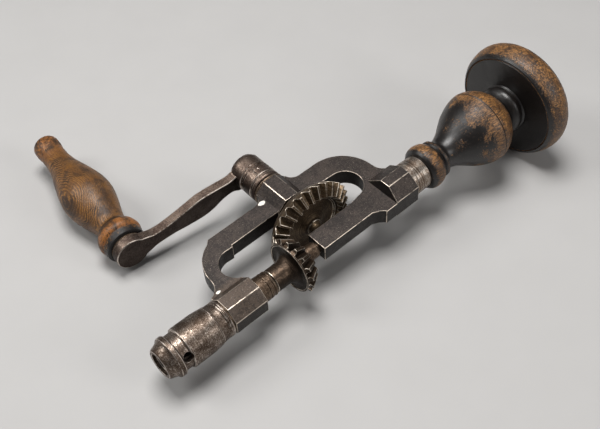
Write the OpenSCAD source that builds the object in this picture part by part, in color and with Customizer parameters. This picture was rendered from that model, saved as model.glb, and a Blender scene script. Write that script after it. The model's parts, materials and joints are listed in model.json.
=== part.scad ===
// Hand drill with an open forged frame, bevel gears, a three-jaw chuck and a turned palm head.
// X runs along the spindle from the chuck towards the palm head, Y along the crank axle,
// Z is square to the frame plate. The origin is the centre of the chuck's mouth.
// The pieces are drawn about the point where the spindle and crank axes cross, which is
// also the apex of both bevel gears, and from_apex() moves them to the origin.

/* [Frame] */
// Thickness of the frame plate
plate_t = 8.8; // [8:0.1:10]
// Width across flats of the front barrel
front_af = 17.7; // [16.5:0.1:19]
// Length of the front barrel
front_len = 18.1; // [15:0.1:20]
// Distance from the crank axis to the chuck end of the front barrel
front_x = 63.1; // [62:0.1:66]
// Distance from the crank axis to the palm end of the rear barrel
rear_x = 50.3; // [49:0.1:54]
// Half width of the rear barrel between its two side facets
rear_half = 9.9; // [9.4:0.1:10.4]
// Width across flats of the crank boss
boss_af = 17.6; // [16.5:0.1:19]
// Distance from the spindle axis to the outer end of the crank boss
boss_y = 42; // [41:0.5:44]

/* [Gears] */
// Teeth on the drive gear
gear_teeth = 28; // [28]
// Teeth on the pinion
pinion_teeth = 16; // [16]
// Module at the large end of the teeth
module_out = 1.66; // [1.6:0.01:1.7]
// Tooth face width as a share of the cone distance
face_share = 0.26; // [0.2:0.01:0.3]

/* [Crank] */
// Radius from the crank axis to the grip stud
crank_r = 69.6; // [64:0.1:76]
// Lean of the arm away from the frame, in degrees
splay = 5; // [0:0.5:6]
// Angle of the arm below the frame plate, in degrees
crank_angle = 7.35; // [0:0.05:15]
// Thickness of the arm
arm_t = 4.9; // [4:0.1:6]
// Length of the wooden grip
grip_len = 87.2; // [86:0.1:88]
// Radius of the grip's belly
grip_r = 13.2; // [12:0.1:14]

/* [Chuck] */
// Radius of the chuck shell
shell_r = 10.1; // [9.8:0.1:10.6]
// Radius of the largest shank that the open jaws take
grip_bore_r = 3.2; // [3:0.05:3.4]
// Slope of the jaws' cone, in degrees
jaw_slope = 12; // [10:1:13]
// Forward travel of the jaws from open to closed
jaw_travel = 6; // [4:0.5:6]

/* [Palm head] */
// Radius of the palm head
head_r = 31; // [28:0.1:33]
// Largest radius of the vase-shaped stem
vase_r = 19.6; // [18:0.1:20.5]

/* [Hidden] */
$fn = 96;
eps = 0.01;
run_gap = 0.04;
seat_gap = 0.02;

// Colours
steel_dark = [0.20, 0.18, 0.17];
steel_worn = [0.45, 0.40, 0.36];
gear_brown = [0.33, 0.29, 0.22];
wood_honey = [0.55, 0.35, 0.18];
wood_black = [0.12, 0.09, 0.08];

// Frame outline
plate_h = plate_t / 2;
front_half = front_af / 2;
front_back_x = -(front_x - front_len);
boss_half = boss_af / 2;
arm_outer_y = 36.1;
arm_inner_y = 25.9;
arm_corner_x = -43.4;
slot_front = [-41.7, 16.4];
slot_front_r = 8.6;
slot_rear = [25.7, 15.9];
slot_rear_r = 9.1;
c_centre = [-38, 16.5];
c_r = 19;
arch_centre = [24.5, 16.5];
arch_r = 20;
arch_fillet_r = 8;
c_fillet_r = 7.65;
boss_fillet_r = 5.5;
arm_fillet_r = 6.3;
boss_in_y = 25.4;
tail_x = -7.7;
tail_half = 5.7;
shoulder_x = 35.4;
side_start_x = 28.4;
rear_top = 9.8;
rear_top_half = 2.8;

// Shafts
journal_r = 4.5;
tail_r = 2.8;
tail_depth = 15;
nub_r = 3.9;
pin_r = 1.1;
tang_r = 4;
tang_in_x = 37;

// Bevel gear geometry: both pitch cones share the origin as their apex
gear_r = module_out * gear_teeth / 2;
pinion_r = module_out * pinion_teeth / 2;
cone_len = sqrt(gear_r * gear_r + pinion_r * pinion_r);
gear_cone = atan2(gear_r, pinion_r);
pinion_cone = atan2(pinion_r, gear_r);
addendum = module_out * 0.9;
dedendum = module_out * 1.2;
small_end = 1 - face_share;
backlash = 0.19;
flank_angle = 22;
pinion_disc_r = 13;
pinion_disc_h = 24.15;
hub_face_y = 10.4;

// Chuck positions along X
nose_x = -98.9;
mouth_r = 5.6;
recess_front_x = -91;
recess_back_x = -87.1;
recess_r = 9;
flange_x = -66;
body_r = 8.2;
shell_bore_r = body_r + 0.05;
tommy_r = 2.4;
tommy_angle = 62;
jaw_front_r = 4.72;
jaw_len = 7.5;
cone_front_x = nose_x + 1.6;
cone_back_x = -83.3;
jaw_open_x = cone_front_x + jaw_travel;
jaw_lift = jaw_travel * tan(jaw_slope);
ring_front_x = jaw_open_x + jaw_len + 0.1;
ring_r = 6.2;
body_bore_r = 6.9;
lug_x = -74.6;
lug_len = 3;
lug_w = 3;

// Crank positions along Y
hub_r = 8.9;
hub_y = 43.7;
hub_len = 21.8;
arm_y = 57.2;
axle_r = 3.8;
stud_r = 3.4;
eye_r = 8.8;
grip_start = 5.9;

// Palm handle positions along X
ferrule_len = 10.5;
ferrule_r = 8.9;
stem_x = rear_x + 0.1;
stem_end_x = 117.8;
head_face_x = 126.2;
head_end_x = 148.2;
tang_end_x = 134;

// ---------- helpers ----------

// Points on a circle's arc, from angle a0 to a1
function arc(c, r, a0, a1, n = 12) = [for (i = [0:n])
    let (a = a0 + (a1 - a0) * i / n) [c[0] + r * cos(a), c[1] + r * sin(a)]];

// Angle at which a circle of radius r, centred on the origin, reaches the height y
function drop_angle(r, y) = asin(y / r);

// Smooth curve through profile points, by Catmull-Rom interpolation
function spline_point(p0, p1, p2, p3, t) =
    0.5 * ((2 * p1) + (p2 - p0) * t + (2 * p0 - 5 * p1 + 4 * p2 - p3) * t * t
    + (3 * p1 - p0 - 3 * p2 + p3) * t * t * t);
function spline(pts, n = 5) = concat([for (i = [0:len(pts) - 2], k = [0:n - 1])
    spline_point(pts[max(i - 1, 0)], pts[i], pts[i + 1], pts[min(i + 2, len(pts) - 1)], k / n)],
    [pts[len(pts) - 1]]);

// Moves a piece from the gears' apex to the origin at the chuck's mouth
module from_apex() {
    translate([-nose_x, 0, 0]) children();
}

// Cylinder along X from x0 to x1
module x_rod(x0, x1, r, r2 = -1) {
    translate([x0, 0, 0]) rotate([0, 90, 0]) cylinder(h = x1 - x0, r1 = r, r2 = (r2 < 0) ? r : r2);
}

// Cylinder along Y from y0 to y1
module y_rod(y0, y1, r) {
    translate([0, y0, 0]) rotate([-90, 0, 0]) cylinder(h = y1 - y0, r = r);
}

// Solid of revolution about X, from a list of [x, radius]
module x_turned(profile) {
    rotate([0, 90, 0]) rotate_extrude() polygon([for (p = profile) [p[1], p[0]]]);
}

// Solid of revolution about Y, from a list of [y, radius]
module y_turned(profile) {
    rotate([-90, 0, 0]) rotate_extrude() polygon([for (p = profile) [p[1], p[0]]]);
}

// Ring groove cut into a turned surface about X
module x_groove(x, r, width, depth) {
    difference() {
        x_rod(x - width / 2, x + width / 2, r + 1);
        x_rod(x - width, x + width, r - depth);
    }
}

// Ring groove cut into a turned surface about Y
module y_groove(y, r, width, depth) {
    difference() {
        y_rod(y - width / 2, y + width / 2, r + 1);
        y_rod(y - width, y + width, r - depth);
    }
}

// ---------- bevel teeth ----------

// Unit vector along the pitch cone and the outward normal, as [radius, height]
function along(cone) = [sin(cone), cos(cone)];
function outward(cone) = [cos(cone), -sin(cone)];

// Point at cone distance share s and height h off the pitch cone, as [radius, height]
function cone_point(cone, s, h) = s * (cone_len * along(cone) + h * outward(cone));

// Wedge between two teeth, with every edge running to the shared apex
module tooth_gap(cone, teeth) {
    pitch_half = PI * cone_len * sin(cone) / teeth / 2 + backlash;
    top = addendum + 1;
    low = -dedendum;
    top_half = pitch_half + top * tan(flank_angle);
    low_half = pitch_half + low * tan(flank_angle);
    section = [[top, -top_half], [top, top_half], [low, low_half], [low, -low_half]];
    reach = [0.55, 1.25];
    corners = [for (s = reach, q = section)
        let (p = s * (cone_len * along(cone) + q[0] * outward(cone)))
        [p[0], s * q[1], p[1]]];
    polyhedron(points = corners, faces = [[0, 1, 2, 3], [7, 6, 5, 4],
        [0, 4, 5, 1], [1, 5, 6, 2], [2, 6, 7, 3], [3, 7, 4, 0]]);
}

// All the gaps of one gear, the first one turned by half a tooth if asked
module tooth_gaps(cone, teeth, phase) {
    for (i = [0:teeth - 1])
        rotate([0, 0, (i + phase) * 360 / teeth]) tooth_gap(cone, teeth);
}

// ---------- frame ----------

// Outer edge of the plate; its ends are buried in the two barrels and the boss
module plate_outline() {
    c_low = drop_angle(c_fillet_r, front_half + 0.2 - c_centre[1]);
    arch_low = drop_angle(arch_fillet_r, rear_half - 0.4 - arch_centre[1]);
    boss_fillet_y = arch_centre[1] + arch_r + boss_fillet_r;
    polygon(concat(
        [[1 - front_x, -tail_half], [22.9, -tail_half], [26.2, -7.3], [side_start_x + 0.4, 0.4 - rear_half],
            [rear_x - 4, 0.4 - rear_half], [rear_x - 4, rear_half - 0.4]],
        arc(arch_centre + [arch_r + arch_fillet_r, 0], arch_fillet_r, 180 - arch_low, 180, 8),
        arc(arch_centre, arch_r, 4, 90, 18),
        arc([boss_half + boss_fillet_r, boss_fillet_y], boss_fillet_r, 270, 190, 8),
        [[boss_half - 1, boss_y - 2], [1 - boss_half, boss_y - 2]],
        arc([-boss_half - arm_fillet_r, arm_outer_y + arm_fillet_r], arm_fillet_r, -10, -90, 8),
        [[arm_corner_x, arm_outer_y]],
        arc(c_centre, c_r, 113, 178, 13),
        arc(c_centre - [c_r + c_fillet_r, 0], c_fillet_r, 0, c_low, 6)));
}

// Window for the gears, open towards the pinion side
module plate_opening() {
    polygon(concat(
        [[front_back_x - 0.5, -tail_half - 6], [front_back_x - 0.5, 8.3]],
        arc(slot_front, slot_front_r, 246, 90, 16),
        [[-37.4, 24.7], [-37, arm_inner_y], [boss_half, arm_inner_y]],
        arc(slot_rear, slot_rear_r, 90, -90, 18),
        [[20, tail_half], [tail_x, tail_half], [tail_x, -tail_half - 6]]));
}

// Octagonal rear barrel: side facets that run on along the plate, the others from a sloping shoulder
module rear_barrel() {
    slope_run = 1.6;
    facet = plate_h + 0.45;
    difference() {
        translate([side_start_x, 0, 0]) rotate([90, 0, 90]) linear_extrude(rear_x - side_start_x)
            polygon([[rear_half, -facet], [rear_half, facet], [rear_top_half, rear_top],
                [-rear_top_half, rear_top], [-rear_half, facet], [-rear_half, -facet],
                [-rear_top_half, -rear_top], [rear_top_half, -rear_top]]);
        for (side = [0, 1]) mirror([0, 0, side])
            translate([0, rear_half + 1, 0]) rotate([90, 0, 0]) linear_extrude(2 * rear_half + 2)
                polygon([[side_start_x - 1, plate_h], [shoulder_x, plate_h],
                    [shoulder_x + slope_run, rear_top + 1], [side_start_x - 1, rear_top + 1]]);
    }
}

module octagon_prism(across, length) {
    rotate([0, 0, 22.5]) cylinder(h = length, r = across / 2 / cos(22.5), $fn = 8);
}

module frame() {
    color(steel_dark) from_apex() difference() {
        union() {
            difference() {
                union() {
                    translate([0, 0, -plate_h]) linear_extrude(plate_t) plate_outline();
                    rear_barrel();
                }
                translate([0, 0, -plate_t]) linear_extrude(2 * plate_t) plate_opening();
            }
            translate([-front_x, 0, 0]) rotate([0, 90, 0]) octagon_prism(front_af, front_len);
            translate([0, boss_in_y, 0]) rotate([-90, 0, 0]) octagon_prism(boss_af, boss_y - boss_in_y);
        }
        x_rod(-front_x - 1, front_back_x + 1, journal_r + run_gap);
        x_rod(tail_x - 1, tail_x + tail_depth, tail_r + run_gap);
        x_rod(tang_in_x, rear_x + 1, tang_r + seat_gap);
        y_rod(boss_in_y - 1, boss_y + 1, journal_r + run_gap);
    }
}

// ---------- spindle and gears ----------

module spindle() {
    thread_x = flange_x - 4;
    neck_x = front_back_x + 0.03;
    color(steel_worn) from_apex() difference() {
        x_turned([[thread_x, 0], [thread_x, 4], [-front_x - 0.2, 4], [-front_x - 0.2, journal_r],
            [neck_x, journal_r], [neck_x, 3.5], [-16.4, 3.5], [-16.4, nub_r - 0.5], [-15.9, nub_r],
            [-9.2, nub_r], [-8.5, nub_r - 0.7], [-8.5, tail_r], [tail_x + tail_depth - 0.5, tail_r],
            [tail_x + tail_depth - 0.5, 0]]);
        pinion_pin_body(seat_gap);
    }
}

module front_washer() {
    color(steel_worn) from_apex() difference() {
        x_rod(-front_x - 0.75, -front_x - 0.05, 8.6);
        x_rod(-front_x - 2, -front_x + 1, journal_r + 0.05);
    }
}

module thrust_collar() {
    x0 = front_back_x + 0.05;
    x1 = x0 + 8.6;
    color(steel_worn) from_apex() difference() {
        x_turned([[x0, 0], [x0, 6], [x0 + 0.4, 6.4], [x1 - 0.5, 6.3], [x1, 5.8], [x1, 0]]);
        x_rod(x0 - 1, x1 + 1, 3.5 + seat_gap);
        x_groove(x0 + 4.6, 6.3, 0.5, 0.4);
        x_groove(x0 + 6.7, 6.3, 1.3, 0.45);
    }
}

// Toothed part of the pinion's blank
module pinion_cone_blank() {
    tip_out = cone_point(pinion_cone, 1, addendum);
    tip_in = cone_point(pinion_cone, small_end, addendum);
    back_h = tip_out[1] + (tip_out[0] - pinion_disc_r) * tan(pinion_cone);
    rotate_extrude() polygon([[0, tip_in[1]], tip_in, tip_out, [pinion_disc_r, back_h],
        [pinion_disc_r, pinion_disc_h + eps], [0, pinion_disc_h + eps]]);
}

// Back of the pinion: a disc that closes the ends of the tooth gaps, and a long hub
module pinion_back() {
    hub_end = -front_back_x - 8.8;
    rotate_extrude() polygon([[0, pinion_disc_h], [pinion_disc_r, pinion_disc_h],
        [pinion_disc_r, pinion_disc_h + 0.8], [pinion_disc_r - 0.8, pinion_disc_h + 0.8],
        [pinion_disc_r - 1.3, pinion_disc_h + 0.4], [9.2, pinion_disc_h + 0.5], [7.6, pinion_disc_h + 1.3],
        [6.5, pinion_disc_h + 2.8], [6, pinion_disc_h + 4.8], [5.9, hub_end - 0.4], [5.5, hub_end],
        [0, hub_end]]);
}

module pinion_pin_body(gap) {
    translate([-32.6, 0, 0]) cylinder(h = 11.4, r = pin_r + gap, center = true);
}

module pinion() {
    color(gear_brown) from_apex() difference() {
        rotate([0, -90, 0]) {
            difference() {
                pinion_cone_blank();
                tooth_gaps(pinion_cone, pinion_teeth, 0);
            }
            pinion_back();
        }
        x_rod(-40, -10, 3.5 + seat_gap);
        pinion_pin_body(seat_gap);
    }
}

module pinion_pin() {
    color(steel_worn) from_apex() pinion_pin_body(0);
}

// Drive gear blank: toothed rim, three turned steps, a web that rises to the hub and a boss behind
module gear_blank() {
    tip_out = cone_point(gear_cone, 1, addendum);
    back_out = cone_point(gear_cone, 1, -dedendum - 1.6);
    tip_in = cone_point(gear_cone, small_end, addendum);
    root_in = cone_point(gear_cone, small_end, -dedendum);
    steps = [for (i = [0:2], drop = [0, 1])
        [root_in[1] + 0.1 + 0.55 * (i + drop), root_in[0] - 0.6 - 0.75 * i - 0.15 * drop]];
    web = spline([[12.9, 13.6], [12.7, 10.5], [12, 7.6], [hub_face_y + 0.3, 5.2]], 3);
    y_turned(concat([[hub_face_y, 0], [hub_face_y, 4.6]], [for (i = [len(web) - 1:-1:0]) web[i]],
        [for (i = [len(steps) - 1:-1:0]) steps[i]],
        [[tip_in[1], tip_in[0]], [tip_out[1], tip_out[0]], [back_out[1], back_out[0]], [18.2, 19.4],
            [18.6, 18.8], [18.6, 8], [boss_in_y - 0.1, 8], [boss_in_y - 0.1, 0]]));
}

module gear_key_body(gap) {
    half = 1 + gap;
    translate([-half, 15, 2.4]) cube([2 * half, 9, 2.1 + gap]);
}

module drive_gear() {
    color(gear_brown) from_apex() difference() {
        gear_blank();
        rotate([-90, 0, 0]) tooth_gaps(gear_cone, gear_teeth, 0.5);
        y_rod(5, 30, 3.5 + seat_gap);
        gear_key_body(seat_gap);
    }
}

module gear_key() {
    color(steel_worn) from_apex() gear_key_body(0);
}

// Blind nut with a ball-shaped head
module gear_nut() {
    ball_y = 9.6;
    ball_r = 3.3;
    flange_r = 4.1;
    seat_y = hub_face_y - 0.05;
    color(gear_brown) from_apex() difference() {
        y_turned(concat([for (a = [0:10:80]) [ball_y - ball_r * cos(a), ball_r * sin(a)]],
            [[ball_y + 0.1, ball_r], [ball_y + 0.25, flange_r], [seat_y, flange_r], [seat_y, 0]]));
        y_rod(7.5, 16, 2 + seat_gap);
    }
}

module crank_axle() {
    end_y = hub_y + hub_len - 4;
    color(steel_worn) from_apex() difference() {
        y_turned([[7.7, 0], [7.7, 2], [hub_face_y + 0.1, 2], [hub_face_y + 0.1, 3.5],
            [boss_in_y - 0.05, 3.5], [boss_in_y - 0.05, journal_r], [boss_y + 1.5, journal_r], [boss_y + 1.5, axle_r],
            [end_y, axle_r], [end_y, 0]]);
        gear_key_body(seat_gap);
        crank_pin_body(seat_gap);
    }
}

// ---------- crank ----------

module boss_washer() {
    color(steel_worn) from_apex() difference() {
        y_turned([[boss_y + 0.05, 0], [boss_y + 0.05, 8.6], [boss_y + 0.4, 9], [boss_y + 1.2, 9],
            [boss_y + 1.55, 8.6], [boss_y + 1.55, 0]]);
        y_rod(boss_y - 1, boss_y + 3, journal_r + 0.05);
    }
}

// Places children in the crank arm's own frame: arm along -X, grip along +Y
module in_arm() {
    rotate([0, -crank_angle, 0]) translate([0, arm_y, 0]) rotate([0, 0, -splay]) children();
}

// Side view of the arm, narrow at the eye, swelling towards the middle
module arm_side() {
    reach = crank_r / cos(splay);
    top = spline([[5.4, 6.3], [9.5, 4.6], [14, 2.9], [22, 2.7], [34, 4.2], [41, 5.2], [50, 4.4], [58, 3.4],
        [63, 4.4], [66, 6.2]]);
    bottom = spline([[66, -8.2], [61.8, -6.8], [58, -4.7], [52, -5.1], [46, -7.1], [40, -7.8], [31, -6.8],
        [22, -5.3], [13, -4.9], [9.5, -5.6], [5.4, -6.5]]);
    translate([-reach, 0]) polygon(concat(top, bottom));
}

module crank_pin_body(gap) {
    rotate([0, -crank_angle, 0]) translate([0, hub_y + 6.2, 0])
        cylinder(h = 2 * hub_r - 0.3, r = pin_r + 0.2 + gap, center = true);
}

module crank_hub() {
    y_turned([[hub_y, 0], [hub_y, hub_r - 0.5], [hub_y + 0.5, hub_r], [hub_y + 17.4, hub_r - 0.2],
        [hub_y + 19.6, hub_r - 1.4], [hub_y + 21.2, hub_r - 3.9], [hub_y + hub_len, hub_r - 6.6],
        [hub_y + hub_len, 0]]);
}

module crank_arm() {
    reach = crank_r / cos(splay);
    color(steel_worn) from_apex() difference() {
        union() {
            crank_hub();
            in_arm() {
                translate([0, arm_t, 0]) rotate([90, 0, 0]) linear_extrude(arm_t) arm_side();
                translate([-reach, 0, 0]) y_rod(0, arm_t, eye_r);
            }
        }
        y_rod(hub_y - 1, hub_y + hub_len - 3.9, axle_r + seat_gap);
        for (y = [hub_y + 2.9, hub_y + 9.3, hub_y + 10.4]) y_groove(y, hub_r, 0.7, 0.5);
        crank_pin_body(seat_gap);
        in_arm() translate([-reach, 0, 0]) y_rod(0.8, arm_t + 1, stud_r + seat_gap);
    }
}

module crank_pin() {
    color(steel_dark) from_apex() crank_pin_body(0);
}

// Places children on the grip's axis: +Y runs outwards from the inner face of the eye
module on_grip_axis() {
    in_arm() translate([-crank_r / cos(splay), 0, 0]) children();
}

module grip_stud() {
    stud_end = grip_start + grip_len - 5;
    color(steel_worn) from_apex() on_grip_axis() difference() {
        y_rod(0.8 + seat_gap, stud_end, stud_r);
        y_rod(stud_end - 9, stud_end + 1, 1.5);
    }
}

module grip() {
    s = grip_start;
    profile = concat([[s, 0], [s, 9.4], [s + 0.5, 10.2], [s + 3.8, 10.7]],
        spline([[s + 4.2, 10.2], [s + 5.6, 11.1], [s + 7.6, 11.3], [s + 10.4, 10.4], [s + 12, 8.9]], 4),
        spline([[s + 12.5, 8.5], [s + 15, 8], [s + 20, 8.9], [s + 28, 11.4], [s + 36.5, grip_r],
            [s + 45, 12.7], [s + 55, 10.2], [s + 63, 7.9], [s + 70, 6.7], [s + 76, 6.5], [s + 81, 7],
            [s + 84.4, 6.8], [s + 86, 5.9], [s + grip_len, 3.9]], 4),
        [[s + grip_len, 0]]);
    color(wood_honey) from_apex() on_grip_axis() difference() {
        y_turned(profile);
        y_rod(s - 1, s + grip_len + 1, stud_r + run_gap + 0.02);
    }
}

// Steel washer between the eye and the grip
module grip_washer() {
    color(steel_worn) from_apex() on_grip_axis() difference() {
        y_rod(arm_t + 0.1, grip_start - 0.1, 8.6);
        y_rod(arm_t - 1, grip_start + 1, stud_r + 0.05);
    }
}

module grip_screw() {
    s = grip_start + grip_len - 5;
    color(steel_worn) from_apex() on_grip_axis() difference() {
        union() {
            y_rod(s - 8, s + 0.5, 1.45);
            y_rod(s + 0.02, s + 2, stud_r - 0.1);
        }
        translate([-5, s + 1.2, -0.4]) cube([10, 2, 0.8]);
    }
}

// ---------- chuck ----------

module chuck_body() {
    front = cone_back_x + 0.1;
    color(steel_worn) from_apex() difference() {
        x_turned([[front, 0], [front, body_r], [flange_x - 0.1, body_r], [flange_x - 0.1, 8.9],
            [flange_x + 0.3, 9.2], [flange_x + 0.8, 9.2], [flange_x + 1.05, 8.7], [flange_x + 1.3, 9.2],
            [-front_x - 1.1, 9.2], [-front_x - 0.8, 8.9], [-front_x - 0.8, 0]]);
        x_rod(front - 1, -71.4, body_bore_r);
        x_rod(-71.5, -60, 4 + seat_gap);
        for (k = [0:2]) rotate([k * 120, 0, 0])
            translate([lug_x - jaw_travel - 0.2, -lug_w / 2 - 0.1, 4]) cube([jaw_travel + lug_len + 0.4,
                lug_w + 0.2, 8]);
    }
}

// Shell that turns on the body: nose cone with the jaws' taper inside, bead, recess and tommy hole
module chuck_shell() {
    rear = flange_x - 0.2;
    cone_start_r = jaw_front_r + 0.03;
    cone_end_r = cone_start_r + (cone_back_x - cone_front_x) * tan(jaw_slope);
    color(steel_worn) from_apex() difference() {
        x_turned([[nose_x, 0], [nose_x, 7], [nose_x + 0.7, 7.6], [-94.7, 8.9], [-94.4, 9.5],
            [-93.9, 10], [-91.8, 10.1], [-91.3, 9.7], [recess_front_x, recess_r],
            [recess_back_x, recess_r], [recess_back_x, shell_r - 0.4], [recess_back_x + 0.5, shell_r],
            [-76, shell_r], [-70.4, 9.5], [-68.6, 9.1], [rear, 9], [rear, 0]]);
        x_rod(nose_x - 1, cone_front_x, mouth_r);
        x_rod(cone_front_x - eps, cone_back_x, cone_start_r, cone_end_r);
        x_rod(cone_back_x - eps, rear + 1, shell_bore_r);
        x_groove(-70.6, 9.5, 0.5, 0.35);
        rotate([tommy_angle, 0, 0]) translate([(recess_front_x + recess_back_x) / 2 + 0.4, 0, 5])
            cylinder(h = 8, r = tommy_r);
    }
}

// Pusher ring: three lugs pass through the body's slots into the shell's thread
module jaw_ring() {
    color(steel_worn) from_apex() difference() {
        union() {
            x_rod(ring_front_x, ring_front_x + 2.5, ring_r);
            x_rod(ring_front_x + 2.4, lug_x + lug_len, ring_r + 0.6);
            for (k = [0:2]) rotate([k * 120, 0, 0])
                translate([lug_x, -lug_w / 2, 4]) cube([lug_len, lug_w, 4.05]);
        }
        x_rod(ring_front_x - 1, lug_x + lug_len + 1, grip_bore_r + 0.4);
    }
}

// One jaw at its open place; closing slides it forwards along the cone
module jaw(k) {
    side_gap = 0.06;
    wedge = 12;
    color(steel_worn) from_apex() rotate([k * 120, 0, 0]) difference() {
        translate([jaw_travel, 0, jaw_lift]) intersection() {
            x_rod(cone_front_x, cone_front_x + jaw_len, jaw_front_r,
                jaw_front_r + jaw_len * tan(jaw_slope));
            translate([cone_front_x - 1, 0, side_gap / sin(60)]) rotate([90, 0, 90])
                linear_extrude(jaw_len + 2)
                polygon([[0, 0], [wedge * sin(60), wedge * cos(60)], [0, wedge],
                    [-wedge * sin(60), wedge * cos(60)]]);
        }
        x_rod(cone_front_x - 1, -70, grip_bore_r);
    }
}

module jaw_a() { jaw(0); }
module jaw_b() { jaw(1); }
module jaw_c() { jaw(2); }

// ---------- palm handle ----------

module ferrule() {
    x0 = rear_x + 0.05;
    x1 = x0 + ferrule_len;
    color(steel_worn) from_apex() difference() {
        x_turned([[x0, 0], [x0, ferrule_r - 0.5], [x0 + 0.4, ferrule_r], [x1 - 0.3, ferrule_r - 0.3],
            [x1, ferrule_r - 0.6], [x1, 0]]);
        x_rod(x0 - 1, x1 + 1, 6.5);
        x_groove(x0 + 2.2, ferrule_r, 0.5, 0.4);
        x_groove(x0 + 6.4, ferrule_r, 0.5, 0.4);
    }
}

module tang() {
    color(steel_worn) from_apex() x_turned([[tang_in_x + 0.2, 0], [tang_in_x + 0.2, tang_r - 0.6],
        [tang_in_x + 0.8, tang_r], [tang_end_x - 2, tang_r], [tang_end_x, tang_r - 1.6], [tang_end_x, 0]]);
}

module handle_stem() {
    shoulder = rear_x + ferrule_len + 0.1;
    profile = concat([[stem_x, 0], [stem_x, 6.45], [shoulder, 6.45], [shoulder, 9.2]],
        spline([[shoulder + 0.3, 10], [shoulder + 2, 11.3], [shoulder + 4.4, 11.7], [shoulder + 7.4, 11.1],
            [shoulder + 9.4, 9.8]], 4),
        [[shoulder + 9.9, 9.2], [shoulder + 10.6, 9.9], [shoulder + 12, 9.9], [shoulder + 12.6, 9.3]],
        spline([[shoulder + 13.2, 8.4], [shoulder + 15.4, 7.9], [80.1, 8.9], [84.5, 11.1], [89.4, 14.3],
            [94, 16.9], [99, 18.8], [103, vase_r]], 4),
        [[103.4, vase_r - 0.4], [103.9, vase_r]],
        spline([[104.6, vase_r], [107.5, vase_r - 0.7], [110.6, vase_r - 2.2], [114, vase_r - 4.8],
            [stem_end_x, vase_r - 9.4]], 4),
        [[stem_end_x, 0]]);
    color(wood_black) from_apex() difference() {
        x_turned(profile);
        x_rod(stem_x - 1, stem_end_x + 1, tang_r + seat_gap);
    }
}

module palm_head() {
    x0 = stem_end_x + 0.05;
    rim_x = 134.2;
    ball = spline([[x0 + 0.2, 9.6], [x0 + 2, 12], [x0 + 4.2, 12.9], [x0 + 6.4, 12.3], [x0 + 7.2, 11.9]], 4);
    palm = spline([[head_face_x, 28.2], [head_face_x + 2.8, 30], [rim_x, head_r],
        [rim_x + 4.4, head_r - 1], [rim_x + 8, head_r - 4.6], [rim_x + 11.4, head_r - 12.5],
        [rim_x + 13.4, 9], [head_end_x, 0.01]], 4);
    color(wood_black) from_apex() difference() {
        x_turned(concat([[x0, 0], [x0, 9.2]], ball,
            [[head_face_x - 0.4, 12.6], [head_face_x - 0.2, 26.7], [head_face_x + 0.3, 27.1],
                [head_face_x - 0.2, 27.6]], palm, [[head_end_x, 0]]));
        x_rod(x0 - 1, tang_end_x + 0.1, tang_r + seat_gap);
    }
}

// ---------- assembly ----------

frame();
spindle();
front_washer();
thrust_collar();
pinion();
pinion_pin();
chuck_body();
chuck_shell();
jaw_ring();
jaw_a();
jaw_b();
jaw_c();
drive_gear();
gear_key();
gear_nut();
crank_axle();
boss_washer();
crank_arm();
crank_pin();
grip_stud();
grip();
grip_washer();
grip_screw();
ferrule();
tang();
handle_stem();
palm_head();
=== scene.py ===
"""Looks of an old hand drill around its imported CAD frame: meshes, worn steel and wood, light and camera."""
import json
import math

import bmesh
import bpy
import numpy as np
from mathutils import Matrix, Vector, noise

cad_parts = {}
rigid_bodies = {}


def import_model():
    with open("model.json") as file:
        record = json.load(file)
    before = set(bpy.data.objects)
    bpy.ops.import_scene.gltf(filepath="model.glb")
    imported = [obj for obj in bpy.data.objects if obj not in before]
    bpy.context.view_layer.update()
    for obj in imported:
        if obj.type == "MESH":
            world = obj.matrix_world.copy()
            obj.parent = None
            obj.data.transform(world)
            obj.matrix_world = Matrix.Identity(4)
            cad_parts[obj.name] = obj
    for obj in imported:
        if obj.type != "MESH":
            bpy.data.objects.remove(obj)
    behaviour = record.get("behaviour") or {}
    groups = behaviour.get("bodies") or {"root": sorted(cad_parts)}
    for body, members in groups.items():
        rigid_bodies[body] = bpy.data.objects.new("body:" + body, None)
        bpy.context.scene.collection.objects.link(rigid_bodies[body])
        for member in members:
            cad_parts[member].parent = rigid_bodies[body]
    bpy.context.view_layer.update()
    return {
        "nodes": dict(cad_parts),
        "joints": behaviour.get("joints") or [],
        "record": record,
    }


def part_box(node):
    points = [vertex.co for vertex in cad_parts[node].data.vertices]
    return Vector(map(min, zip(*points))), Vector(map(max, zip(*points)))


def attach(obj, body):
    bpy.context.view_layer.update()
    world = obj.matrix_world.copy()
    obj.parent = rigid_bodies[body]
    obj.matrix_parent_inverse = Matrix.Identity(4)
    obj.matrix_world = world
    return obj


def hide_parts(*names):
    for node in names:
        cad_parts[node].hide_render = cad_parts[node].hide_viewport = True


for leftover in list(bpy.data.objects):
    bpy.data.objects.remove(leftover)
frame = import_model()

MM = 0.001
joints = {joint["name"]: joint for joint in frame["joints"]}
node_body = {node: body for body, nodes in frame["record"]["behaviour"]["bodies"].items() for node in nodes}

# Places along the spindle's axis, and the palm head's radius, in millimetres
BARREL_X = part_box("frame")[0].x / MM
CRANK_X = joints["crank_turn"]["pos_m"][0] / MM
FERRULE_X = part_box("ferrule")[0].x / MM
STEM_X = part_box("handle_stem")[0].x / MM
HEAD_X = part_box("palm_head")[0].x / MM
HEAD_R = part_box("palm_head")[1].z / MM


# ---------- node graphs ----------

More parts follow.
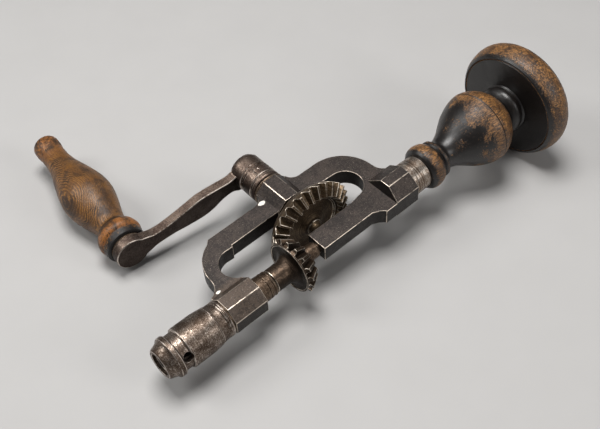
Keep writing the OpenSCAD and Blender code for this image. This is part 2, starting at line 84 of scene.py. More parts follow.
class Graph:
    """A material's node tree, built with short calls. Positions in it are in millimetres."""

    def __init__(self, name):
        self.material = bpy.data.materials.new(name)
        self.material.use_nodes = True
        self.tree = self.material.node_tree
        self.tree.nodes.clear()
        position = self.node("ShaderNodeTexCoord").outputs["Object"]
        self.place = self.vector("SCALE", position, scale=1 / MM)
        parts = self.node("ShaderNodeSeparateXYZ", {0: self.place})
        self.x, self.y, self.z = parts.outputs[:3]

    def node(self, kind, inputs=None, **settings):
        made = self.tree.nodes.new(kind)
        for key, value in settings.items():
            setattr(made, key, value)
        for key, value in (inputs or {}).items():
            self.feed(made.inputs[key], value)
        return made

    def feed(self, socket, value):
        if isinstance(value, bpy.types.NodeSocket):
            self.tree.links.new(value, socket)
        elif isinstance(value, (tuple, list)) and len(value) == 3 and socket.type == "RGBA":
            socket.default_value = (*value, 1.0)
        else:
            socket.default_value = value

    def math(self, operation, a, b=0.0, clamp=False):
        made = self.node("ShaderNodeMath", {0: a, 1: b}, operation=operation, use_clamp=clamp)
        return made.outputs[0]

    def vector(self, operation, a, b=(0.0, 0.0, 0.0), scale=1.0):
        made = self.node("ShaderNodeVectorMath", {0: a, 1: b}, operation=operation)
        made.inputs[3].default_value = scale
        return made.outputs["Value" if operation == "LENGTH" else "Vector"]

    def stretched(self, factors):
        """The place, scaled per axis, for grain that runs one way."""
        return self.vector("MULTIPLY", self.place, factors)

    def noise(self, size, detail=4.0, roughness=0.55, distortion=0.0, at=None):
        """Noise whose features are about size millimetres across."""
        made = self.node("ShaderNodeTexNoise", {"Vector": at or self.place, "Scale": 1 / size,
            "Detail": detail, "Roughness": roughness, "Distortion": distortion})
        return made.outputs["Fac"]

    def step(self, value, low, high, to_low=0.0, to_high=1.0):
        """A smooth step from to_low at low to to_high at high."""
        made = self.node("ShaderNodeMapRange", {"Value": value, "From Min": low, "From Max": high,
            "To Min": to_low, "To Max": to_high}, interpolation_type="SMOOTHSTEP")
        return made.outputs["Result"]

    def band(self, value, centre, half, soft):
        """One inside centre +- half, falling to nought over soft."""
        away = self.math("ABSOLUTE", self.math("SUBTRACT", value, centre))
        return self.step(away, half, half + soft, 1.0, 0.0)

    def mix(self, factor, a, b):
        made = self.node("ShaderNodeMix", {"Factor": factor}, data_type="RGBA")
        self.feed(made.inputs[6], a)
        self.feed(made.inputs[7], b)
        return made.outputs[2]

    def blend(self, factor, a, b):
        made = self.node("ShaderNodeMix", {0: factor, 2: a, 3: b}, data_type="FLOAT")
        return made.outputs[0]

    def facing_up(self):
        """How far the surface looks towards the frame plate's upper side, from -1 to 1."""
        normal = self.node("ShaderNodeTexCoord").outputs["Normal"]
        return self.node("ShaderNodeSeparateXYZ", {0: normal}).outputs[2]

    def line_noise(self, distance, size):
        """Noise that changes only with distance, as lathe marks do."""
        made = self.node("ShaderNodeTexNoise", {"W": distance, "Scale": 1 / size, "Detail": 3.0},
            noise_dimensions="1D")
        return made.outputs["Fac"]

    def chip(self, x, y, radius):
        """One on a small ragged spot of the upper face about (x, y)."""
        away = self.vector("SUBTRACT", self.place, (x, y, 0.0))
        flat = self.vector("LENGTH", self.vector("MULTIPLY", away, (1.0, 1.6, 0.0)))
        ragged = self.math("ADD", flat, self.math("MULTIPLY", self.noise(1.1), 1.6))
        inside = self.step(ragged, radius + 0.6, radius + 0.9, 1.0, 0.0)
        return self.math("MULTIPLY", inside, self.step(self.z, 3.0, 4.0))

    def length(self, a, b):
        """Length of the vector (a, b)."""
        squares = self.math("ADD", self.math("MULTIPLY", a, a), self.math("MULTIPLY", b, b))
        return self.math("SQRT", squares)

    def weighed(self, a, share, b):
        """share of a and the rest of b."""
        return self.math("ADD", self.math("MULTIPLY", a, share), self.math("MULTIPLY", b, 1 - share))

    def less(self, value, other, share):
        """value less a share of other."""
        return self.math("SUBTRACT", value, self.math("MULTIPLY", other, share))

    def bump(self, height, depth, below=None):
        """Normal with a relief of depth millimetres."""
        made = self.node("ShaderNodeBump", {"Height": height, "Distance": depth * MM, "Strength": 1.0})
        if below:
            self.feed(made.inputs["Normal"], below)
        return made.outputs["Normal"]

    def finish(self, colour, roughness, normal, metallic=0.0, coat=0.0, specular=0.5):
        shader = self.node("ShaderNodeBsdfPrincipled", {"Base Color": colour, "Roughness": roughness,
            "Metallic": metallic, "Specular IOR Level": specular, "Coat Weight": coat,
            "Coat Roughness": 0.25, "Normal": normal})
        self.node("ShaderNodeOutputMaterial", {"Surface": shader.outputs[0]})
        return self.material


# ---------- steel ----------

def scratched(g, here):
    """One on fine scratches that run along the piece or across it."""
    along = g.noise(0.5, detail=3, roughness=0.7, at=g.vector("MULTIPLY", here, (0.12, 2.2, 2.2)))
    across = g.noise(0.5, detail=3, roughness=0.7, at=g.vector("MULTIPLY", here, (1.6, 0.14, 1.6)))
    return g.step(g.math("MAXIMUM", along, across), 0.66, 0.76)


def shade(colour, share):
    """The colour, darkened to share of its strength."""
    return tuple(share * part for part in colour)


def steel(name, tones, shine, rough=(0.34, 0.56), mottle=2.2, pits=0.5, metallic=0.92, seed=0.0,
        turned=None, marked=0.45, ring=0.5, grime_and_side_shade=0.0, tint=None, spots=()):
    """Old handled steel of tones (dark, mid, bright): patina clouds from dark to mid with rubbed bright
    patches, pits and fine scratches.

    shine   share that is rubbed bright
    rough   roughness of the mid and the dark tone
    mottle  size of the patina's clouds, in millimetres
    pits    strength of the pits
    turned  turned(g) gives the distance along which lathe marks follow each other
    marked  strength of the lathe marks, and ring their size in millimetres
    grime_and_side_shade   painted shade: how dark the faces are that don't look up
    tint    (where(g), colour) of a stained part
    spots   (x, y, radius) of bare chips on the upper face
    """
    dark, mid, bright = tones
    g = Graph(name)
    here = g.vector("ADD", g.place, (seed, seed * 0.7, seed * 1.3))
    clouds = g.noise(mottle * 4, detail=6, roughness=0.62, distortion=0.4, at=here)
    fine = g.noise(mottle * 0.45, detail=5, roughness=0.65, at=here)
    specks = g.noise(mottle * 0.16, detail=3, roughness=0.6, at=here)
    patina = g.step(g.weighed(clouds, 0.45, fine), 0.40, 0.60)
    rubbed = g.step(g.weighed(clouds, 0.35, fine), 0.70 - 0.4 * shine, 0.84 - 0.4 * shine)
    scratches = scratched(g, here)
    pitted = g.step(specks, 0.54, 0.68, 0.0, pits)
    sparks = g.step(g.noise(mottle * 0.22, detail=2, roughness=0.7, at=here), 0.66, 0.72, 0.0, 0.5)
    relief = g.less(g.less(g.math("MULTIPLY", fine, 0.7), pitted, 0.8), scratches, 0.15)

    colour = g.mix(rubbed, g.mix(patina, dark, mid), bright)
    if tint:
        where, stain = tint
        uneven = g.step(fine, 0.36, 0.56, 0.4, 0.95)
        colour = g.mix(g.math("MULTIPLY", where(g), uneven), colour, stain)
    colour = g.mix(g.math("MULTIPLY", scratches, 0.35), colour, bright)
    colour = g.mix(sparks, colour, bright)
    if turned:
        marks = g.step(g.line_noise(turned(g), ring), 0.40, 0.62)
        colour = g.mix(g.math("MULTIPLY", marks, marked), colour, dark)
        relief = g.less(relief, marks, 0.3)
    # Painted shade: faces that don't look up are darkened, as if they lay in shadow.
    if grime_and_side_shade:
        colour = g.mix(g.step(g.facing_up(), 0.25, 0.8, grime_and_side_shade, 0.0), colour, shade(dark, 0.4))
    colour = g.mix(pitted, colour, shade(dark, 0.35))
    for x, y, radius in spots:
        colour = g.mix(g.chip(x, y, radius), colour, CHIP_WHITE)

    roughness = g.blend(patina, rough[1], rough[0])
    roughness = g.math("ADD", roughness, g.math("MULTIPLY", pitted, 0.2), clamp=True)
    normal = g.bump(relief, 0.035, below=g.bump(clouds, 0.08))
    return g.finish(colour, roughness, normal, metallic=metallic)


def worn_edge(name, bright, dark, low, high, seed):
    """The rubbed steel on an edge, dull where its noise is under low and bright where it is over high."""
    g = Graph(name)
    here = g.vector("ADD", g.place, (seed, seed * 1.7, seed * 0.4))
    breaks = g.noise(4.0, detail=6, roughness=0.75, at=here)
    colour = g.mix(g.step(breaks, low, high), dark, bright)
    fine = g.noise(0.5, detail=3, at=here)
    return g.finish(colour, g.step(fine, 0.3, 0.7, 0.28, 0.45), g.bump(fine, 0.03), metallic=0.95)


def along_spindle(g):
    """Distance along the spindle's axis, in millimetres."""
    return g.x


def from_crank_axis(g):
    """Distance from the crank's axis, in millimetres."""
    return g.length(g.math("SUBTRACT", g.x, CRANK_X), g.z)


def front_barrel(g):
    """One on the frame's front barrel, whose steel is browner."""
    along = g.step(g.x, BARREL_X + 22.0, BARREL_X + 28.0, 1.0, 0.0)
    return g.math("MULTIPLY", along, g.band(g.y, 0.0, 9.5, 2.5))


def ferrule_rust(g):
    """One on two rusted lines round the ferrule."""
    thin = g.band(g.x, FERRULE_X + 4.0, 0.1, 0.35)
    wide = g.band(g.x, FERRULE_X + 5.3, 0.15, 0.5)
    return g.math("MAXIMUM", thin, wide)


CHIP_WHITE = (0.80, 0.77, 0.70)
FRAME_DARK = (0.021, 0.0160, 0.0140)
FRAME_MID = (0.058, 0.0440, 0.0370)
TAN_BRIGHT = (0.66, 0.57, 0.48)
SILVER = (0.60, 0.53, 0.47)
RUST_BROWN = (0.085, 0.052, 0.034)
GEAR_BROWN = (0.085, 0.060, 0.036)

# The frame's faces that don't look up get painted shade.
frame_steel = steel("frame_steel_patina", (FRAME_DARK, FRAME_MID, TAN_BRIGHT), shine=-0.02,
    rough=(0.40, 0.54), pits=0.5, metallic=0.45, seed=3.0, grime_and_side_shade=0.8,
    tint=(front_barrel, (0.078, 0.055, 0.040)),
    spots=((CRANK_X - 10.8, 35.3, 2.0), (CRANK_X - 58.4, 9.4, 1.2)))
frame_edge = worn_edge("frame_worn_edge", TAN_BRIGHT, FRAME_MID, low=0.34, high=0.50, seed=11.0)

CHUCK_TONES = ((0.066, 0.043, 0.030), (0.290, 0.232, 0.190), (0.69, 0.635, 0.575))
chuck_steel = steel("chuck_steel_pitted", CHUCK_TONES, shine=0.42, rough=(0.32, 0.5), mottle=1.3,
    pits=0.9, seed=7.0, turned=along_spindle)
chuck_edge = worn_edge("chuck_worn_edge", SILVER, RUST_BROWN, low=0.36, high=0.55, seed=5.0)

ARM_TONES = ((0.068, 0.045, 0.036), (0.21, 0.158, 0.126), SILVER)
# The arm's faces that don't look up, its broad side among them, get painted shade.
arm_steel = steel("arm_steel_forged", ARM_TONES, shine=0.28, mottle=1.8, pits=0.85, seed=19.0, grime_and_side_shade=0.85)

FERRULE_TONES = ((0.20, 0.14, 0.10), (0.60, 0.53, 0.46), (0.86, 0.81, 0.74))
ferrule_steel = steel("ferrule_steel_bright", FERRULE_TONES, shine=0.5, rough=(0.28, 0.42), mottle=1.1,
    pits=0.75, seed=23.0, turned=along_spindle, tint=(ferrule_rust, RUST_BROWN))

GEAR_TONES = ((0.050, 0.032, 0.018), (0.200, 0.140, 0.082), (0.44, 0.33, 0.22))
gear_steel = steel("gear_steel_oiled", GEAR_TONES, shine=0.18, rough=(0.32, 0.5), mottle=1.5, pits=0.6,
    metallic=0.7, seed=29.0, turned=from_crank_axis, marked=0.9, ring=1.0)
PINION_TONES = ((0.038, 0.026, 0.018), (0.13, 0.088, 0.060), (0.38, 0.28, 0.21))
# The pinion's faces that don't look up get painted shade.
pinion_steel = steel("pinion_steel_oiled", PINION_TONES, shine=0.2, rough=(0.32, 0.5), mottle=1.5, pits=0.7,
    metallic=0.85, seed=30.0, turned=along_spindle, grime_and_side_shade=0.8)
gear_edge = worn_edge("gear_worn_edge", (0.80, 0.71, 0.60), GEAR_BROWN, low=0.36, high=0.54, seed=31.0)

WORN_TONES = ((0.055, 0.036, 0.024), (0.19, 0.135, 0.095), SILVER)
worn_steel = steel("worn_steel_bronzed", WORN_TONES, shine=0.22, mottle=1.3, pits=0.7, seed=37.0,
    turned=along_spindle)
worn_steel_edge = worn_edge("worn_steel_edge", (0.36, 0.28, 0.21), RUST_BROWN, low=0.38, high=0.56,
    seed=43.0)

JAW_TONES = ((0.10, 0.09, 0.08), (0.28, 0.26, 0.24), SILVER)
jaw_steel = steel("jaw_steel_bright", JAW_TONES, shine=0.35, seed=41.0)


# ---------- wood ----------

def growth_rings(g, pith, spacing, wander):
    """One on the thin pale lines where growth rings meet the surface. pith is a point of the tree's centre
    line, which runs along local X."""
    sway = g.noise(16.0, detail=5, roughness=0.6, at=g.stretched((0.4, 1.0, 1.0)))
    flat = g.vector("MULTIPLY", g.vector("SUBTRACT", g.place, pith), (0.06, 1.0, 1.0))
    depth = g.vector("LENGTH", flat)
    depth = g.math("ADD", depth, g.math("MULTIPLY", sway, wander))
    turn = g.math("FRACT", g.math("DIVIDE", depth, spacing))
    return g.band(turn, 0.5, 0.06, 0.24)


def bare_wood(g, tones, pith, spacing=0.6, wander=7.0, line=0.5):
    """Colour, relief and stain field of oiled hardwood of tones (light, mid, dark), with growth lines as
    strong as line, pores and handling stains."""
    light, mid, dark = tones
    rings = growth_rings(g, pith, spacing, wander)
    pores = g.noise(0.35, detail=2, roughness=0.6, at=g.stretched((0.12, 1.0, 1.0)))
    pores = g.step(pores, 0.52, 0.66)
    stain = g.noise(8.0, detail=6, roughness=0.65, distortion=0.6)
    tone = g.mix(g.step(stain, 0.40, 0.60), dark, mid)
    broken = g.step(g.noise(7.0, detail=5, roughness=0.7), 0.40, 0.58, 0.08, line)
    tone = g.mix(g.math("MULTIPLY", rings, broken), tone, light)
    tone = g.mix(g.math("MULTIPLY", pores, 0.55), tone, dark)
    relief = g.math("SUBTRACT", g.math("MULTIPLY", rings, 0.6), g.math("MULTIPLY", pores, 0.7))
    return tone, relief, stain


HONEY = (0.38, 0.172, 0.040)
UMBER = (0.130, 0.056, 0.014)
WOOD_DARK = (0.042, 0.020, 0.009)
ORANGE = (0.34, 0.125, 0.028)
GOLD = (0.50, 0.25, 0.08)
TAWNY = (0.27, 0.128, 0.042)
CHESTNUT = (0.10, 0.045, 0.016)
EBONY = (0.0065, 0.0050, 0.0045)
FLECK_DARK = (0.022, 0.012, 0.007)


def grip_grime(g):
    """Dark of the grip's ragged band beside the eye, its crease, its crumbs of dirt and its sooty end."""
    grime_and_side_shade = g.noise(1.4, detail=5, roughness=0.75)
    ragged = g.math("ADD", g.x, g.math("MULTIPLY", grime_and_side_shade, 18.0))
    band = g.step(ragged, 11.4, 13.4, 1.0, 0.0)
    crease = g.math("MULTIPLY", g.band(g.x, 12.6, 0.5, 1.2), 0.8)
    fleck = g.noise(0.8, detail=5, roughness=0.75)
    crumbs = g.math("MULTIPLY", g.step(fleck, 0.52, 0.62), g.step(g.x, 12.0, 20.0, 0.85, 0.45))
    soot = g.math("MULTIPLY", g.step(g.x, 72.0, 83.0, 0.0, 0.8), g.step(grime_and_side_shade, 0.44, 0.54))
    dirt = g.math("MAXIMUM", g.math("MAXIMUM", crumbs, crease), soot)
    return g.math("MAXIMUM", band, dirt), grime_and_side_shade


def grip_wood():
    """Brown hardwood with fine golden grain, a black band beside the eye, orange bead and knob."""
    g = Graph("grip_wood_oiled")
    tone, relief, stain = bare_wood(g, (HONEY, UMBER, WOOD_DARK), pith=(44.0, -17.0, -12.0), spacing=0.45,
        wander=4.0, line=0.7)
    knob = g.step(g.x, 66.0, 82.0)
    bead = g.band(g.x, 7.0, 2.6, 1.2)
    rubbed = g.math("MULTIPLY", g.math("MAXIMUM", bead, knob), g.step(stain, 0.38, 0.54))
    colour = g.mix(g.math("MULTIPLY", rubbed, 0.65), tone, ORANGE)
    dark, grime_and_side_shade = grip_grime(g)
    colour = g.mix(dark, colour, EBONY)
    roughness = g.blend(g.step(stain, 0.35, 0.65), 0.52, 0.38)
    normal = g.bump(relief, 0.06, below=g.bump(grime_and_side_shade, 0.10))
    return g.finish(colour, roughness, normal, coat=0.05, specular=0.4)


def ebonised(name, wear_of, pith, grain=(0.25, 1.0, 1.0)):
    """Black stained and waxed wood, worn through to brown where wear_of(g) says."""
    g = Graph(name)
    tone, relief, stain = bare_wood(g, (GOLD, TAWNY, CHESTNUT), pith, spacing=0.7, line=0.6)
    flecks = g.noise(0.7, detail=5, roughness=0.75, at=g.stretched(grain))
    tone = g.mix(g.step(flecks, 0.43, 0.57, 0.0, 0.88), tone, FLECK_DARK)
    crumbs = g.noise(0.9, detail=8, roughness=0.85)
    edge = g.math("ADD", g.math("MULTIPLY", crumbs, 3.4), g.math("MULTIPLY", stain, 0.5))
    ragged = g.math("SUBTRACT", edge, 1.95)
    worn = g.step(g.math("ADD", wear_of(g), ragged), 0.36, 0.62)
    roughness = g.blend(worn, g.step(crumbs, 0.3, 0.7, 0.30, 0.44), 0.44)
    relief = g.math("MULTIPLY", relief, g.math("ADD", g.math("MULTIPLY", worn, 0.7), 0.3))
    normal = g.bump(relief, 0.04, below=g.bump(crumbs, 0.06, below=g.bump(worn, -0.05)))
    return g.finish(g.mix(worn, EBONY, tone), roughness, normal, coat=g.blend(worn, 0.15, 0.05))


def stem_wear(g):
    """Wear on the bead's crest, the small ring, and the vase's widest part."""
    clouds = g.noise(11.0, detail=4, roughness=0.6, at=g.vector("ADD", g.place, (4.0, 9.0, 2.0)))
    bead = g.math("MULTIPLY", g.band(g.x, STEM_X + 15.2, 1.8, 2.4), 0.72)
    ring = g.math("MULTIPLY", g.band(g.x, STEM_X + 21.8, 0.3, 0.6), 0.45)
    crest = g.math("MULTIPLY", g.band(g.x, STEM_X + 55.0, 3.5, 9.0), 0.80)
    patches = g.step(g.x, STEM_X + 26, STEM_X + 42, 0.2, 0.62)
    patches = g.math("MULTIPLY", g.step(clouds, 0.46, 0.60, 0.16, 1.0), patches)
    wear = g.math("MAXIMUM", g.math("MAXIMUM", bead, ring), g.math("MAXIMUM", crest, patches))
    return g.math("SUBTRACT", wear, g.band(g.x, STEM_X + 53.0, 0.1, 0.35))


def head_wear_and_painted_light(g):
    """Wear round the rim and the thin bare line on the front face. The rim's wear is partly painted light:
    lightest where light falls, black on its shaded lower side.
    """
    # Partly painted light: these clouds are offset so the rim wears most where light falls and least on its
    # shaded lower side.
    clouds = g.noise(20.0, detail=3, roughness=0.55, at=g.vector("ADD", g.place, (1.0, 7.0, 12.0)))
    r = g.length(g.y, g.z)
    rim = g.math("MULTIPLY", g.step(r, HEAD_R - 3.0, HEAD_R - 0.6), g.step(clouds, 0.30, 0.52, 0.55, 0.85))
    line = g.math("MULTIPLY", g.band(r, 27.1, 0.15, 0.2), 0.8)
    palm = g.step(g.x, HEAD_X + 21.0, HEAD_X + 26.0, 0.0, 0.5)
    return g.math("MAXIMUM", g.math("MAXIMUM", rim, line), palm)


# ---------- meshes ----------

def link(name, data, matrix=None):
    """A new object of the scene with this mesh, lamp or camera."""
    made = bpy.data.objects.new(name, data)
    bpy.context.scene.collection.objects.link(made)
    if matrix:
        made.matrix_world = matrix
    return made


def stands_for(piece, node):
    """Lets the piece move with the node's body and replace the node."""
    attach(piece, node_body[node])
    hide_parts(node)


def clean_copy(mesh):
    """The CAD mesh as a bmesh with its flat faces made whole."""
    shape = bmesh.new()
    shape.from_mesh(mesh)
    bmesh.ops.remove_doubles(shape, verts=shape.verts, dist=2e-6)
    bmesh.ops.dissolve_degenerate(shape, edges=shape.edges, dist=5e-6)
    bmesh.ops.dissolve_limit(shape, angle_limit=math.radians(0.3), verts=shape.verts, edges=shape.edges)
    return shape


def mark_corners(shape, sharp):
    """Gives the bevel's weight to the outer edges that turn by more than sharp degrees."""
    weight = shape.edges.layers.float.new("bevel_weight_edge")
    for edge in shape.edges:
        corner = edge.calc_face_angle_signed(0.0)
        edge[weight] = 1.0 if corner > math.radians(sharp) else 0.0


def round_corners(piece, width):
    """Rounds the marked edges by width millimetres and gives them the second material."""
    rounding = piece.modifiers.new("rounding", "BEVEL")
    rounding.width = width * MM
    rounding.segments = 2
    rounding.limit_method = "WEIGHT"
    rounding.material = 1
    rounding.use_clamp_overlap = False
    rounding.miter_outer = "MITER_ARC"
    evening = piece.modifiers.new("evening", "WEIGHTED_NORMAL")
    evening.weight = 80
    evening.keep_sharp = True


def refined(node, skin, edge, width, sharp=28.0):
    """A finer copy of a CAD node in the skin material, with its outer edges in the edge material. They are
    rounded by width millimetres where they turn by more than sharp degrees."""
    shape = clean_copy(frame["nodes"][node].data)
    mark_corners(shape, sharp)
    for face in shape.faces:
        face.smooth = True
        face.material_index = 0
    mesh = bpy.data.meshes.new(node + "_look")
    shape.to_mesh(mesh)
    shape.free()
    mesh.set_sharp_from_angle(angle=math.radians(sharp))
    for material in (skin, edge):
        mesh.materials.append(material)
    piece = link(node + "_look", mesh)
    round_corners(piece, width)
    stands_for(piece, node)


def catmull(points, steps):
    """Points on a smooth curve through the given points."""
    made = []
    for i in range(len(points) - 1):
        p0, p1 = np.array(points[max(i - 1, 0)]), np.array(points[i])
        p2, p3 = np.array(points[i + 1]), np.array(points[min(i + 2, len(points) - 1)])
        for k in range(steps):
            t = k / steps
            made.append(tuple(0.5 * (2 * p1 + (p2 - p0) * t + (2 * p0 - 5 * p1 + 4 * p2 - p3) * t * t
                + (3 * p1 - p0 - 3 * p2 + p3) * t ** 3)))
    return made + [tuple(points[-1])]


def turned_rings(profile):
    """The profile's points with more between them, so that no gap is much over 0.9 mm."""
    rings = []
    for (x0, r0), (x1, r1) in zip(profile, profile[1:]):
        count = max(1, round(math.hypot(x1 - x0, r1 - r0) / 0.9))
        rings += [(x0 + (x1 - x0) * k / count, r0 + (r1 - r0) * k / count) for k in range(count)]
    return rings + [profile[-1]]


def turned_shape(profile, segments):
    """The profile of (along, radius) points turned about X, closed at both ends, as a bmesh."""
    shape = bmesh.new()
    turn = [2 * math.pi * k / segments for k in range(segments)]
    loops = []
    for x, r in turned_rings(profile):
        loops.append([shape.verts.new((x * MM, r * MM * math.cos(a), r * MM * math.sin(a))) for a in turn])
    for one, two in zip(loops, loops[1:]):
        for k in range(segments):
            k2 = (k + 1) % segments
            shape.faces.new((one[k], two[k], two[k2], one[k2]))
    shape.faces.new(loops[0])
    shape.faces.new(reversed(loops[-1]))
    bmesh.ops.recalc_face_normals(shape, faces=shape.faces)
    shape.normal_update()
    return shape


def lathe(name, place, profile, material, segments=160, dent=0.10, dent_size=6.0, seed=0.0):
    """A turned wooden piece on the place's X axis, with shallow dents from handling, dent mm deep."""
    shape = turned_shape(profile, segments)
    shift = Vector((seed, seed * 2.1, seed * 0.6))
    for vert in shape.verts:
        hit = noise.fractal(vert.co / (dent_size * MM) + shift, 0.8, 2.0, 3)
        vert.co -= vert.normal * max(0.0, hit) * dent * MM
    for face in shape.faces:
        face.smooth = True
    mesh = bpy.data.meshes.new(name)
    shape.to_mesh(mesh)
    shape.free()
    mesh.set_sharp_from_angle(angle=math.radians(38))
    mesh.materials.append(material)
    return link(name, mesh, place)


# ---------- turned wood ----------

def along_axis(origin, axis):
    """Matrix that puts local X on an axis through origin, with local Z as near up as it can be."""
    side = Vector((0, 0, 1)).cross(axis).normalized()
    up = axis.cross(side)
    turn = Matrix((axis, side, up)).transposed().to_4x4()
    return Matrix.Translation(origin) @ turn


def make_grip():
    """Ring-shaped bead beside the crank's eye, a long belly and a small knob."""
    grip_r = 13.2
    length = 87.2
    centre = Vector(joints["grip_spin"]["pos_m"])
    axis = Vector(joints["grip_spin"]["axis"]).normalized()
    start = min((vert.co - centre).dot(axis) for vert in frame["nodes"]["grip"].data.vertices)
    place = along_axis(centre + axis * start, axis)
    bead = catmull([(4.2, 10.2), (5.6, 11.1), (7.6, 11.3), (10.4, 10.4), (12, 8.9)], 6)
    belly = catmull([(12.5, 8.5), (15, 8), (20, 8.9), (28, 11.4), (36.5, grip_r), (45, 12.7), (55, 10.2),
        (63, 7.9), (70, 6.7), (76, 6.5), (81, 7), (84.4, 6.8), (86, 5.9), (length, 3.9)], 8)
    profile = [(0, 3.5), (0, 9.4), (0.5, 10.2), (3.8, 10.7)] + bead + belly
    stands_for(lathe("grip_turned", place, profile, grip_wood(), seed=2.0), "grip")


def make_stem():
    """Neck inside the ferrule, bead, small ring and vase."""
    x = STEM_X
    s = x + 10.5
    bead = catmull([(s + 0.3, 10), (s + 2, 11.3), (s + 4.4, 11.7), (s + 7.4, 11.1), (s + 9.4, 9.8)], 6)
    body = catmull([(s + 13.2, 8.4), (s + 15.4, 7.9), (x + 29.7, 8.9), (x + 34.1, 11.1), (x + 39, 14.3),
        (x + 43.6, 16.9), (x + 48.6, 18.8), (x + 52.6, 19.6)], 7)
    shoulder = catmull([(x + 54.2, 19.6), (x + 57.1, 18.9), (x + 60.2, 17.4), (x + 63.6, 14.8),
        (x + 67.4, 10.2)], 7)
    profile = ([(x, 4.1), (x, 6.45), (s, 6.45), (s, 9.2)] + bead
        + [(s + 9.9, 9.2), (s + 10.6, 9.9), (s + 12, 9.9), (s + 12.6, 9.3)] + body
        + [(x + 53, 19.2), (x + 53.5, 19.6)] + shoulder + [(x + 67.4, 4.1)])
    wood = ebonised("stem_wood_ebonised", stem_wear, pith=(0.0, -30.0, -18.0))
    stands_for(lathe("stem_turned", Matrix.Identity(4), profile, wood, seed=5.0), "handle_stem")


def make_head():
    """Ball, flat front face with a thin raised ring, and the palm dome."""
    x = HEAD_X
    face = x + 8.35
    rim = x + 16.35
    r = HEAD_R
    ball = catmull([(x + 0.2, 9.6), (x + 2, 12), (x + 4.2, 12.9), (x + 6.4, 12.3), (x + 7.2, 11.9)], 7)
    palm = catmull([(face, 28.2), (face + 2.8, 30), (rim, r), (rim + 4.4, r - 1), (rim + 8, r - 4.6),
        (rim + 11.4, r - 12.5), (rim + 13.4, 9), (rim + 14, 0.05)], 8)
    profile = ([(x, 4.1), (x, 9.2)] + ball + [(face - 0.4, 12.6), (face - 0.2, 26.7), (face + 0.3, 27.1),
        (face - 0.2, 27.6)] + palm)
    wood = ebonised("head_wood_ebonised", head_wear_and_painted_light, pith=(0.0, 40.0, -30.0), grain=(1.0, 0.3, 1.0))
    head = lathe("head_turned", Matrix.Identity(4), profile, wood, segments=192, dent=0.14, dent_size=9.0,
        seed=9.0)
    stands_for(head, "palm_head")


make_grip()
make_stem()
make_head()

# ---------- steel pieces ----------

refined("frame", frame_steel, frame_edge, width=0.25)
for node in ("chuck_body", "chuck_shell"):
    refined(node, chuck_steel, chuck_edge, width=0.18)
refined("drive_gear", gear_steel, gear_edge, width=0.16)
refined("pinion", pinion_steel, gear_edge, width=0.14)
refined("gear_nut", gear_steel, gear_edge, width=0.2)
refined("crank_arm", arm_steel, chuck_edge, width=0.4, sharp=50.0)
refined("ferrule", ferrule_steel, ferrule_steel, width=0.15)
for node in ("boss_washer", "front_washer", "thrust_collar", "spindle", "grip_washer", "grip_screw"):
    refined(node, worn_steel, worn_steel_edge, width=0.15)

# CAD nodes that stay as they are: inside others, or with no edge that shows
KEPT = {"pinion_pin": worn_steel, "gear_key": worn_steel, "crank_axle": worn_steel, "crank_pin": arm_steel,
    "grip_stud": worn_steel, "tang": worn_steel, "jaw_ring": chuck_steel, "jaw_a": jaw_steel,
    "jaw_b": jaw_steel, "jaw_c": jaw_steel}
for node, material in KEPT.items():
    frame["nodes"][node].material_slots[0].material = material


# ---------- floor, light, camera ----------

def resting_plane(feet_nodes, rounds=8):
    """A point of the plane the drill lies on and its upward normal, from the three pieces that touch it."""
    up = Vector((0, 0, 1))
    clouds = [np.array([v.co for v in frame["nodes"][name].data.vertices]) for name in feet_nodes]
    for _ in range(rounds):
        feet = [Vector(cloud[np.argmin(cloud @ np.array(up))]) for cloud in clouds]
        up = (feet[1] - feet[0]).cross(feet[2] - feet[0]).normalized()
        if up.z < 0:
            up.negate()
    return feet[0], up


def floor_material():
    """Plain pale grey with very faint clouds."""
    g = Graph("floor_pale")
    grain = g.noise(30.0, detail=5)
    colour = g.mix(grain, (0.43, 0.425, 0.42), (0.46, 0.455, 0.45))
    return g.finish(colour, 0.6, g.bump(g.noise(1.0), 0.01), specular=0.3)


def make_floor(half=3.0):
    """A square floor that reaches half metres each way, under the three pieces that touch it."""
    foot, up = resting_plane(("drive_gear", "grip", "palm_head"))
    sheet = bpy.data.meshes.new("floor")
    corners = [(-half, -half, 0), (half, -half, 0), (half, half, 0), (-half, half, 0)]
    sheet.from_pydata(corners, [], [(0, 1, 2, 3)])
    sheet.materials.append(floor_material())
    turn = up.to_track_quat("Z", "Y").to_matrix().to_4x4()
    link("floor", sheet, Matrix.Translation(foot) @ turn)


# The point of the spindle's axis that the lamps and the camera look at, in metres
TARGET = Vector((0.09538, 0.0, 0.0))


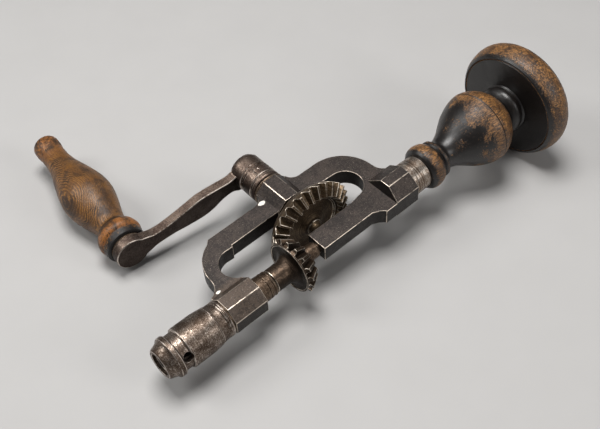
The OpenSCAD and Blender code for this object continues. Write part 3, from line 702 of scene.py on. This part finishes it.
def softbox(name, place, size, watts, colour):
    """A round soft lamp at a place, size metres across, that looks at the drill."""
    lamp = bpy.data.lights.new(name, "AREA")
    lamp.shape = "DISK"
    lamp.size = size
    lamp.energy = watts
    lamp.color = colour
    made = link(name, lamp)
    made.location = place
    made.rotation_mode = "QUATERNION"
    made.rotation_quaternion = (TARGET - Vector(place)).to_track_quat("-Z", "Y")


def make_surroundings():
    """A weak, slightly blue light from everywhere, and plain display colours."""
    world = bpy.data.worlds.new("studio")
    bpy.context.scene.world = world
    world.use_nodes = True
    background = world.node_tree.nodes["Background"]
    background.inputs["Color"].default_value = (0.80, 0.82, 0.85, 1.0)
    background.inputs["Strength"].default_value = 0.10
    bpy.context.scene.view_settings.view_transform = "Standard"


def photo_camera():
    """Camera above the chuck end, looking down at the frame from its open side."""
    azimuth, elevation, roll = (math.radians(a) for a in (-38.8807, 50.4254, -4.0259))
    # In metres: how far back from TARGET, then to the right and up in the picture
    distance, shift_right, shift_up = 0.44894, -0.010859, 0.013135
    back = Vector((math.sin(azimuth) * math.cos(elevation), -math.cos(azimuth) * math.cos(elevation),
        math.sin(elevation)))
    right = Vector((math.cos(azimuth), math.sin(azimuth), 0))
    top = back.cross(right)
    right, top = right * math.cos(roll) + top * math.sin(roll), top * math.cos(roll) - right * math.sin(roll)
    data = bpy.data.cameras.new("camera")
    data.lens = 57.70
    data.sensor_width = 36.0
    data.clip_start = 0.01
    turn = Matrix((right, top, back)).transposed().to_4x4()
    place = TARGET + back * distance + right * shift_right + top * shift_up
    bpy.context.scene.camera = link("camera", data, Matrix.Translation(place) @ turn)


make_floor()
softbox("overhead", (0.16, 0.14, 0.95), size=0.50, watts=10.0, colour=(1.0, 0.985, 0.97))
softbox("left", (-0.42, 0.58, 0.72), size=0.42, watts=4.0, colour=(1.0, 0.99, 0.97))
softbox("front", (0.48, -0.75, 0.50), size=0.42, watts=2.6, colour=(1.0, 0.98, 0.96))
make_surroundings()
photo_camera()

bpy.context.view_layer.update()
